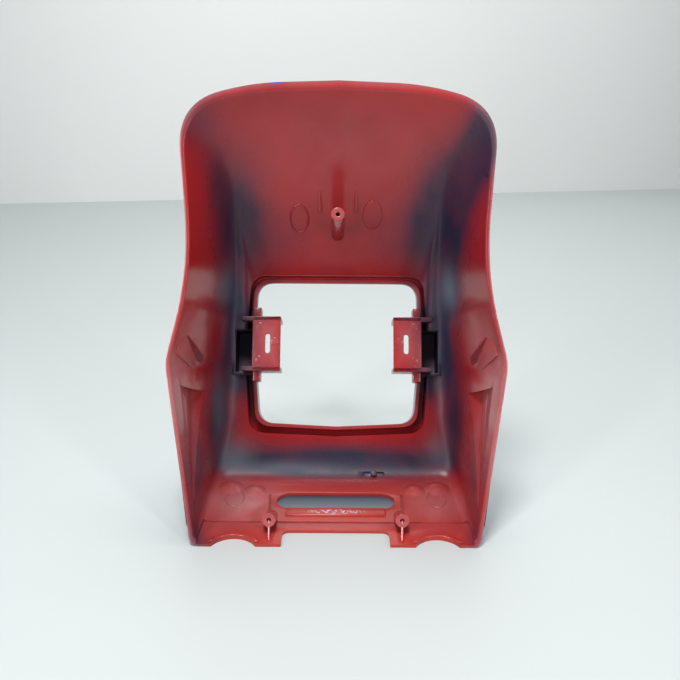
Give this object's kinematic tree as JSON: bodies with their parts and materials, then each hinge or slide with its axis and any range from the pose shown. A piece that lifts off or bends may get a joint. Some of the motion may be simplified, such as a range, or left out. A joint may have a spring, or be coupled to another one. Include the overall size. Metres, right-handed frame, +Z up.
{
  "type": "moped headlight fairing",
  "caption": "Moulded red headlight fairing with a square lamp opening, slotted lamp brackets, screw posts and fork notches in the floor.",
  "frame": {"origin": "centre of the bounding box at its lowest face, as the fairing stands on its floor", "axes": "+X to the rider's right, +Y to the front of the bike and away from the open rear, +Z up"},
  "size_m": [0.2394, 0.1512, 0.314],
  "materials": {
    "shell": "glossy moulded red plastic, painted blue outside"
  },
  "bodies": {
    "root": {"fairing": "shell"}
  },
  "joints": []
}
